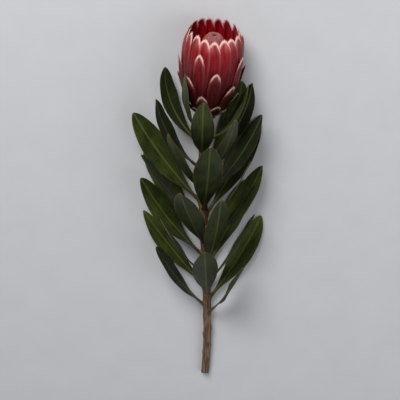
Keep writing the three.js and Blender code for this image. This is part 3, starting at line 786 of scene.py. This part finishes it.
def neck_scales(scales, step, number):
    """Small scales that carry the spiral on down the neck, each less deep than the last one."""
    tip = scales.tip - scales.tip_step * step
    return Group(
        number=number, tip=tip, layer=tip + scales.deeper + scales.deeper_step * step,
        root=scales.root - scales.root_step * step, width=scales.width - scales.narrow * step,
        turn=-GOLDEN_TURN * (step + 1), tilt=0.0, flare=scales.flare, tip_length=scales.tip_length)


BRACT_TIERS = dict(  # in the order of their numbers
    low=(spiral_bracts, LOW_BRACTS), middle=(spiral_bracts, MIDDLE_BRACTS),
    ring=(ring_bracts, RING_BRACTS), scale=(neck_scales, NECK_SCALES))


def bract_half_width(bracts, height):
    """Half a bract's width: a rounded end, and narrower towards the root."""
    to_end = np.clip((bracts.tip - height) / bracts.tip_length, 0, 1)
    oval = np.maximum(BRACT_TIP_LEAST, np.sqrt(1 - (1 - to_end)**2)**BRACT_TIP_POINT)
    from_root = (height - bracts.root) / (bracts.tip - bracts.root)
    waist = lerp(BRACT_WAIST, 1, ease(from_root, 0, BRACT_WAIST_END))
    return (bracts.width / 2) * oval * waist


def bract_middle(bracts, u, v):
    """A bract's middle surface, root to tip (u) and edge to edge (v): the bloom's outline less its
    layer's depth, tilted by v, with its edges curled in by the square of v, turned in at the root and
    out at the tip."""
    height = lerp(bracts.root, bracts.tip, u)
    half = bract_half_width(bracts, height)
    leaned = BRACT_LAYER_SLOPE * (bracts.layer - height)
    rooted = np.clip(1 - (height - bracts.root) / BRACT_ROOT_BEND, 0, None)**2
    depth = lerp(leaned, np.maximum(leaned, BRACT_ROOT_DEPTH), rooted)
    at_tip = np.clip(1 - (bracts.tip - height) / BRACT_FLARE_LENGTH, 0, None)**2
    off_middle_share = v * half / (bracts.width / 2)
    section = bracts.tilt * off_middle_share - BRACT_CUP * off_middle_share**2
    radius = bloom_radius(height) - depth + section + bracts.flare * at_tip
    return bloom_point(bracts.turn + v * half / radius, radius, height)


def bract_shape(bracts):
    """Blades of lens section on the bracts' middle surfaces, with rows crowded towards the tips."""
    v, side, fullness = lens_ring(BRACT_AROUND)
    u = crowded_rows(BRACT_ROWS, BRACT_CROWDING)
    middle = bract_middle(bracts, u, v)
    _, _, square = directions(partial(bract_middle, bracts), u, v)
    thinned = lerp(1.0, BRACT_THIN_TIP, ease(u, BRACT_THIN_FROM, 1.0))
    rings = middle + square * scaling(side * fullness * thinned * BRACT_THICKNESS / 2)
    height = lerp(bracts.root, bracts.tip, u)
    half = bract_half_width(bracts, height)
    below_tip = bracts.tip - height
    traits = {
        "tone": (draw(bracts.number, 3) + 1) / 2,
        "edge": off_edge(half, v, below_tip, tip_share=0.85),
        "below_tip": below_tip,
        "across": half * v,
        "level": height,
        "outside": (1 - side) / 2,
    }
    return closed_tubes(rings, traits)


def fringe_shape(bracts):
    """Three-sided hairs along the rim of each bract's tip: rooted on the edge, combed towards the tip
    and a little out of the edge, each bent by its own draw. A hair that would touch the surface below
    is left out."""
    loose = HAIR_SPREAD
    place_on_rim = np.linspace(-1, 1, HAIRS_PER_BRACT)[:, None]
    pick = bracts.number * HAIRS_PER_BRACT + np.arange(HAIRS_PER_BRACT)[:, None]
    span = np.minimum(HAIR_SPAN, HAIR_SPAN_MOST * (bracts.tip - bracts.root))
    off_tip = np.abs(place_on_rim + loose.place * draw(pick, 4))**HAIR_CROWDING
    u = 1 - (HAIR_BELOW_TIP + span * off_tip) / (bracts.tip - bracts.root)
    v = np.clip(place_on_rim * HAIR_CROSSING, -1, 1) * lerp(*HAIR_ROOTS, (draw(pick, 5) + 1) / 2)
    root = bract_middle(bracts, u, v)
    tipward, turnward, inward = directions(partial(bract_middle, bracts), u, v)
    splay = HAIR_SPLAY * np.clip(place_on_rim * HAIR_SPLAY_CROSSING, -1, 1)
    splay = splay + loose.splay * draw(pick, 6)
    lean_in = HAIR_LEAN_IN + loose.lean_in * draw(pick, 7)
    curl_in = HAIR_CURL_IN + loose.curl_in * draw(pick, 8)
    lean = unit(tipward + turnward * scaling(splay) + inward * scaling(lean_in))
    bent = unit(lean + tipward * HAIR_COMBED + inward * scaling(curl_in))
    shortened = lerp(1.0, HAIR_SHORTEST, np.abs(place_on_rim))
    length = HAIR_LENGTH * (1 + loose.length * draw(pick, 9)) * shortened
    knee = root + lean * scaling(HAIR_KNEE * length)
    end = root + (lean * HAIR_KNEE + bent * (1 - HAIR_KNEE)) * scaling(length)
    spine = np.stack([root, knee, end], axis=-2).reshape(-1, 3, 3)
    clear = spine[:, :, 2].min(axis=1) + OFFSET[2] > RESTING_HEIGHT + HAIR_RADII[0]
    return needle_shape(spine[clear], HAIR_RADII, HAIR_AROUND)


def needle_shape(spines, radii, around):
    """Tapered needles along spines (needles x rows x 3): rings square to each spine's chord, set out
    from one of two axes that is well off it."""
    chord = unit(spines[:, -1] - spines[:, 0])
    helper = np.where(np.abs(chord[:, 2:]) > 0.9, [[1.0, 0.0, 0.0]], [[0.0, 0.0, 1.0]])
    first = unit(np.cross(chord, helper))
    second = np.cross(chord, first)
    angle = once_round(around)
    ring = first[:, None] * np.cos(angle)[:, None] + second[:, None] * np.sin(angle)[:, None]
    rings = spines[:, :, None] + ring[:, None] * radii[:, None, None]
    return closed_tubes(rings, {"reach": np.linspace(0, 1, spines.shape[1])[:, None]})


# ---- Florets ----

def rounded_profile():
    """The floret cone's outline as closely spaced radii and heights, with the distance along it at
    each: straight between its points, then averaged over a short stretch."""
    steps = np.linalg.norm(np.diff(FLORET_PROFILE, axis=0), axis=1)
    corners = np.concatenate([[0], np.cumsum(steps)])
    along = np.linspace(0, corners[-1], PROFILE_POINTS)
    window = round(PROFILE_ROUNDING / along[1])
    sides = [np.interp(along, corners, FLORET_PROFILE[:, axis]) for axis in range(2)]
    padded = [np.pad(side, (window // 2, window - 1 - window // 2), "edge") for side in sides]
    radius, height = (np.convolve(side, np.full(window, 1 / window), "valid") for side in padded)
    return along, radius, height


def turned_shape(profile, around, traits):
    """A profile of radius and height carried round the bloom's axis, closed at both ends."""
    angle = once_round(around)
    radius, height = np.asarray(profile, float).T[..., None]
    return closed_tubes(bloom_point(angle, radius, height)[None], traits)


def floret_bed_shape():
    """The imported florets' own surface, a little inside the cone's outline, under the styles."""
    _, radius, height = rounded_profile()
    inner = np.clip(radius[::FLORET_BED_STRIDE] - FLORET_BED_DEPTH, FLORET_BED_LEAST, None)
    profile = np.stack([inner, height[::FLORET_BED_STRIDE] - FLORET_BED_DROP], axis=-1)
    return turned_shape(profile, FLORET_AROUND, {"reach": 0.0})


def style_shape():
    """Silky styles: each follows the cone's outline from its own root, spread by a golden spiral, and
    lifts a little out of it towards its end. They are shorter near the top."""
    loose = STYLE_SPREAD
    number = np.arange(STYLE_COUNT)[:, None]
    along, radius, height = rounded_profile()
    share = (number + 0.5) / STYLE_COUNT
    climb = np.linspace(0, 1, len(STYLE_RADII))
    start = lerp(STYLE_LOWEST, STYLE_HIGHEST, share**STYLE_CROWDING)
    length = (STYLE_LENGTH * (1 + loose.length * draw(number, 11))
              * lerp(1.0, STYLE_SHORTEST, ease(share, STYLE_SHORTER_FROM, 1.0)))
    reached = np.minimum(start + length * climb, STYLE_END)
    lift = lerp(-STYLE_SUNK, STYLE_LIFTED, climb) + loose.lift * draw(number, 13) * climb
    slope_radius = np.interp(reached, along, np.gradient(radius, along))
    slope_height = np.interp(reached, along, np.gradient(height, along))
    away = np.interp(reached, along, radius) + lift * slope_height
    level = np.interp(reached, along, height) - lift * slope_radius
    turn = GOLDEN_TURN * number + loose.turn * climb * draw(number, 15)
    spine = bloom_point(turn, np.maximum(away, STYLE_AXIS_GAP), level)
    return needle_shape(spine, STYLE_RADII, STYLE_AROUND)


# ---- Leaves and stem ----

def leaf_shape(index):
    """A leaf: a lens section on its middle surface, rippled towards its edges by a sine, with a midrib
    below and a groove above that fall off as bell curves. Its first ring is drawn back along its stalk
    into the bark."""
    leaf = leaf_plan(index)
    ripples = LEAF_RIPPLE
    v, side, fullness = lens_ring(LEAF_AROUND)
    u = crowded_rows(LEAF_ROWS, LEAF_CROWDING)
    u = np.concatenate([u[:1], u])
    phase = 2 * math.pi * (ripples.waves * u + ripples.slant * v) + ripples.shift * draw(index, 7)
    ripple = ripples.height * v**2 * np.sin(phase) * ease(u, ripples.begins, ripples.full)
    middle = partial(leaf_middle, leaf, extra_rise=ripple)
    _, _, square = directions(middle, u, v)
    half = leaf_half_width(leaf, u)
    off_rib = half * v
    skin = (LEAF_THICKNESS + lerp(STALK_THICKNESS, 0.0, ease(u, 0, STALK_END))) * fullness / 2
    groove = GROOVE_DEPTH * np.exp(-(off_rib / GROOVE_REACH)**2) * (u > GROOVE_BEGINS)
    rib = lerp(*RIB_DEPTH, ease(u, 0, RIB_END)) * np.exp(-(off_rib / RIB_REACH)**2)
    thickness = np.where(side > 0, skin - groove, -skin - rib * fullness)
    rings = middle(u, v) + square * scaling(thickness)
    rings[0] -= leaf.direction * (CUSHION_REACH + TOUCHING_GAP + STALK_SUNK)
    traits = {
        "tone": (draw(index, 8) + 1) / 2,
        "across": off_rib,
        "along": leaf.length * u,
        "edge": off_edge(half, v, leaf.length * (1 - u), tip_share=0.5),
        "upper": (1 + side) / 2,
    }
    return closed_tubes(rings[None], traits)


def cushion_rise(distance, turn):
    """How far leaf cushions and scars stand out of the bark: one soft bump each, longer below it."""
    rise = 0.0
    for index in range(LEAF_COUNT + SCAR_COUNT):
        leaf = leaf_plan(index)
        reach = CUSHION_REACH * CUSHION_SOFTENED if index < LEAF_COUNT else SCAR_REACH
        ahead = distance - leaf.distance - CUSHION_AHEAD * reach
        reach_along = np.where(ahead > 0, CUSHION_ABOVE, CUSHION_BELOW)
        aside = (turn - leaf.turn + math.pi) % (2 * math.pi) - math.pi
        off_bump = (ahead / reach_along)**2 + (aside * STEM_RADIUS_LOW / CUSHION_ASIDE)**2
        rise = rise + reach * np.exp(-off_bump)
    return rise


def stem_shape():
    """The stem: a round section carried along its curve, roughened by three slanting waves, with
    cushions and scars, begun by flat rings across the slanted cut."""
    turn = once_round(STEM_AROUND)
    distance = STEM_LENGTH * np.linspace(0, 1, STEM_ROWS)[:, None]
    rough = sum(height * np.sin(waves * turn + slant * distance) for height, waves, slant in BARK_WAVES)
    radius = stem_radius(distance) - BARK_INSET + rough + cushion_rise(distance, turn)
    cut_share = np.linspace(CUT_CENTRE, 1, CUT_RINGS)[:, None] ** CUT_CROWDING
    radius = np.concatenate([radius[:1] * cut_share * CUT_INSET, radius])
    distance = np.concatenate([np.zeros((CUT_RINGS, 1)), distance])
    slant = CUT_SLANT * radius * np.cos(turn) * np.exp(-(distance / CUT_SLANT_LENGTH)**2)
    axes = stem_frame(distance)
    rings = axes.centre + outward(axes, turn) * scaling(radius) + axes.along * scaling(slant)
    wood = np.concatenate([cut_share, np.full((STEM_ROWS, 1), WOOD_ON_BARK)])
    return closed_tubes(rings[None], {"level": distance, "wood": wood})


def receptacle_shape():
    """The receptacle: a cone that opens from the neck into the foot of the bracts, and closes under
    the florets."""
    height = np.linspace(0, RECEPTACLE_TOP - RECEPTACLE_SHOULDER, RECEPTACLE_ROWS)
    body = np.stack([bloom_radius(height) - RECEPTACLE_DEPTH, height], axis=-1)
    shoulder = [body[-1][0] - RECEPTACLE_SHOULDER, RECEPTACLE_TOP]
    profile = [*RECEPTACLE_NECK_PROFILE, *body, shoulder, [RECEPTACLE_TOP_RADIUS, RECEPTACLE_TOP]]
    return turned_shape(profile, RECEPTACLE_AROUND, {"level": np.array(profile)[:, 1:]})


# ---- Dressing the flower ----

def dress_bloom():
    """The bloom's pieces: bracts and fringes tier by tier, the receptacle and the florets."""
    bract = bract_finish()
    hair = hair_finish()
    counted = 0
    for tier, (plan, rows) in BRACT_TIERS.items():
        step = np.arange(rows.count)[:, None, None]
        bracts = plan(rows, step, counted + step)
        counted += rows.count
        make_piece(f"bracts_{tier}", bract_shape(bracts), bract, ["bracts"])
        make_piece(f"fringe_{tier}", fringe_shape(bracts), hair, ["bracts"])
    make_piece("receptacle", receptacle_shape(), receptacle_finish(), ["bracts"])
    floret = floret_finish()
    make_piece("floret_bed", floret_bed_shape(), floret, ["florets"])
    make_piece("floret_styles", style_shape(), floret, ["florets"])


def dress_shoot():
    """One piece for each leaf, numbered from the bloom down as its solid is, and one for the stem."""
    leaf = leaf_finish()
    for index in range(LEAF_COUNT):
        number = f"{index + 1:02d}"
        make_piece(f"leaf_blade_{number}", leaf_shape(index), leaf, [f"leaf_{number}"])
    make_piece("stem_bark", stem_shape(), bark_finish(), ["stem"])


# ---- Floor, lights and camera, in the scene's metres ----

VIEW_ANGLE = math.radians(60)  # how far the camera looks down, from the bloom's end
LENS = 100.0
SENSOR = 36.0
VIEW_DISTANCE = 1.1
VIEW_CENTRE = (0.0, 0.027, 0.03)
FLOOR_REACH = 4.0
FLOOR_DROP = 0.0002  # below the lowest piece
LAMPS = dict(
    key=dict(spot=(-0.48, 1.68, 1.28), size=0.96, power=37.0, tint=(1.0, 0.985, 0.96)),
    fill=dict(spot=(0.9, 0.1, 1.0), size=1.1, power=3.5, tint=(0.98, 0.99, 1.0)))
WORLD_TINT = (0.88, 0.91, 0.95, 1.0)
WORLD_STRENGTH = 0.26


def make_floor():
    """A plain pale floor, just below the flower."""
    made = Finish("pale_floor")
    grain = made.noise(made.where(), 30.0, 2.0)
    finish = made.shade(Base_Color=made.between(grain, FLOOR_TINTS), Roughness=0.85)
    sides = ((-1, -1), (1, -1), (1, 1), (-1, 1))
    corners = [(x * FLOOR_REACH, y * FLOOR_REACH, -FLOOR_DROP) for x, y in sides]
    floor = add_mesh("floor", corners, [(0, 1, 2, 3)], finish)


def make_lamp(name, spot, size, power, tint):
    """A round soft lamp that faces the origin."""
    light = bpy.data.lights.new(name, "AREA")
    light.shape = "DISK"
    light.size = size
    light.energy = power
    light.color = tint
    lamp = add_object(name, light)
    lamp.location = spot
    lamp.rotation_euler = (-Vector(spot)).to_track_quat("-Z", "Y").to_euler()


def make_lights():
    """The lamps, and an even light from all round."""
    for name, lamp in LAMPS.items():
        make_lamp(name, **lamp)
    world = bpy.data.worlds.new("studio")
    world.use_nodes = True
    background = world.node_tree.nodes["Background"]
    background.inputs["Color"].default_value = WORLD_TINT
    background.inputs["Strength"].default_value = WORLD_STRENGTH
    bpy.context.scene.world = world
    bpy.context.scene.view_settings.view_transform = "Standard"


def make_camera():
    """A camera past the bloom's end, looking down into its mouth, with the bloom at the top of the
    picture and the whole flower in it."""
    toward = np.array([0, math.cos(VIEW_ANGLE), math.sin(VIEW_ANGLE)])
    top = np.array([0, math.sin(VIEW_ANGLE), -math.cos(VIEW_ANGLE)])
    lens = bpy.data.cameras.new("camera")
    lens.lens = LENS
    lens.sensor_width = SENSOR
    camera = add_object("camera", lens)
    turn = Matrix(np.column_stack([np.cross(top, toward), top, toward]).tolist())
    camera.matrix_world = Matrix.LocRotScale(Vector(VIEW_CENTRE + toward * VIEW_DISTANCE), turn, None)
    bpy.context.scene.camera = camera


make_camera()
dress_bloom()
dress_shoot()
make_floor()
make_lights()
